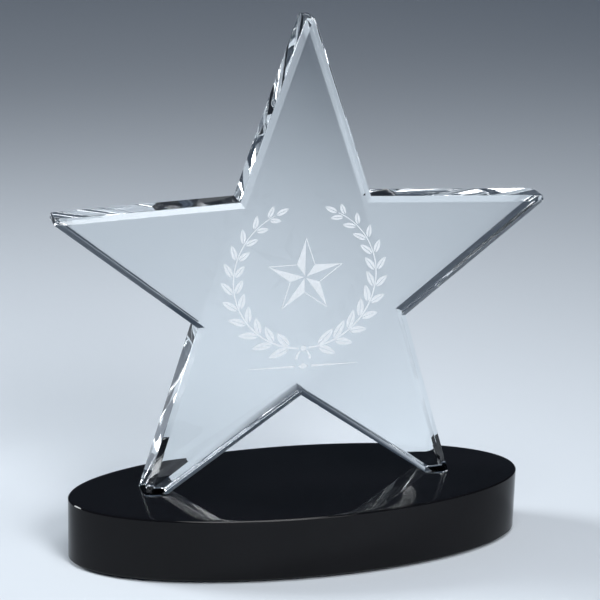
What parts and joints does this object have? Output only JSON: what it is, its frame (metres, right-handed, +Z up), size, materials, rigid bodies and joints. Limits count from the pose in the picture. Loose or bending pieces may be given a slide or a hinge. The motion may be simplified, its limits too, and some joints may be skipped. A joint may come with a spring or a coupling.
{
  "type": "crystal award",
  "caption": "Upright bevelled five-point star of clear glass, bonded by its two lower points to an oval black glass base on rubber bumpers.",
  "frame": {"origin": "on the ground plane under the middle of the oval base", "axes": "+Z up along the star's height, +X along the base's long axis and the star's width, -Y the side the star's etched front face looks to"},
  "size_m": [0.1978, 0.0762, 0.2168],
  "materials": {
    "clear_glass": "polished optical glass, with a frosted etched mark on the front face",
    "black_glass": "polished opaque black glass",
    "cured_adhesive": "clear cured adhesive",
    "bumper_rubber": "matt moulded rubber"
  },
  "bodies": {
    "root": {"crystal_star": "clear_glass", "oval_base": "black_glass", "left_adhesive_film": "cured_adhesive", "right_adhesive_film": "cured_adhesive", "front_left_bumper": "bumper_rubber", "rear_left_bumper": "bumper_rubber", "front_right_bumper": "bumper_rubber", "rear_right_bumper": "bumper_rubber"}
  },
  "joints": []
}
